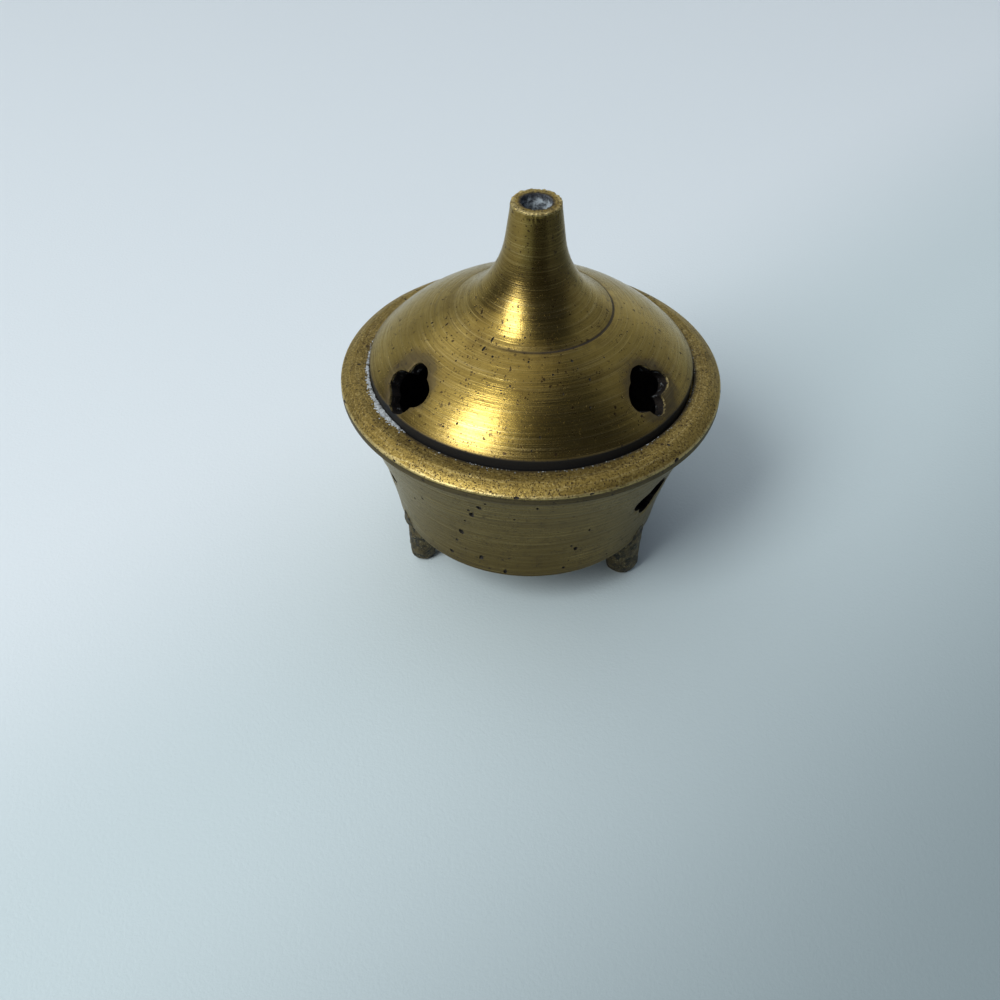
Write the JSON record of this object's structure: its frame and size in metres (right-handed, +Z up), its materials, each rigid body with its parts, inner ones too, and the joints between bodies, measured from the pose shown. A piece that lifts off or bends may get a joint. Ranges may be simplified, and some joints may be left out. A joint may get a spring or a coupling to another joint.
{
  "type": "incense burner",
  "caption": "Small turned brass cone incense burner: footed bowl with a wide rim, loose domed lid with lobed vents and a flared smoke neck.",
  "frame": {"origin": "centre of the bowl on the surface that the feet stand on", "axes": "+Z up along the axis of the bowl, lid and neck; the front, with one dome vent on each side of it, faces -Y; +X to the right"},
  "size_m": [0.064, 0.0638, 0.0672],
  "materials": {
    "turned_brass": "lathe-turned brass, worn semi-gloss with fine rings, dark casting pits and brown tarnish",
    "cast_brass": "as-cast brass, rough and darkly tarnished"
  },
  "bodies": {
    "base": {"bowl": "turned_brass", "foot_left": "cast_brass", "foot_right": "cast_brass", "foot_rear": "cast_brass"},
    "lid": {"lid": "turned_brass"}
  },
  "joints": [
    {"name": "lid_lift", "type": "slide", "parent": "base", "child": "lid", "axis": [0, 0, 1], "range_m": [0, 0.04]}
  ]
}
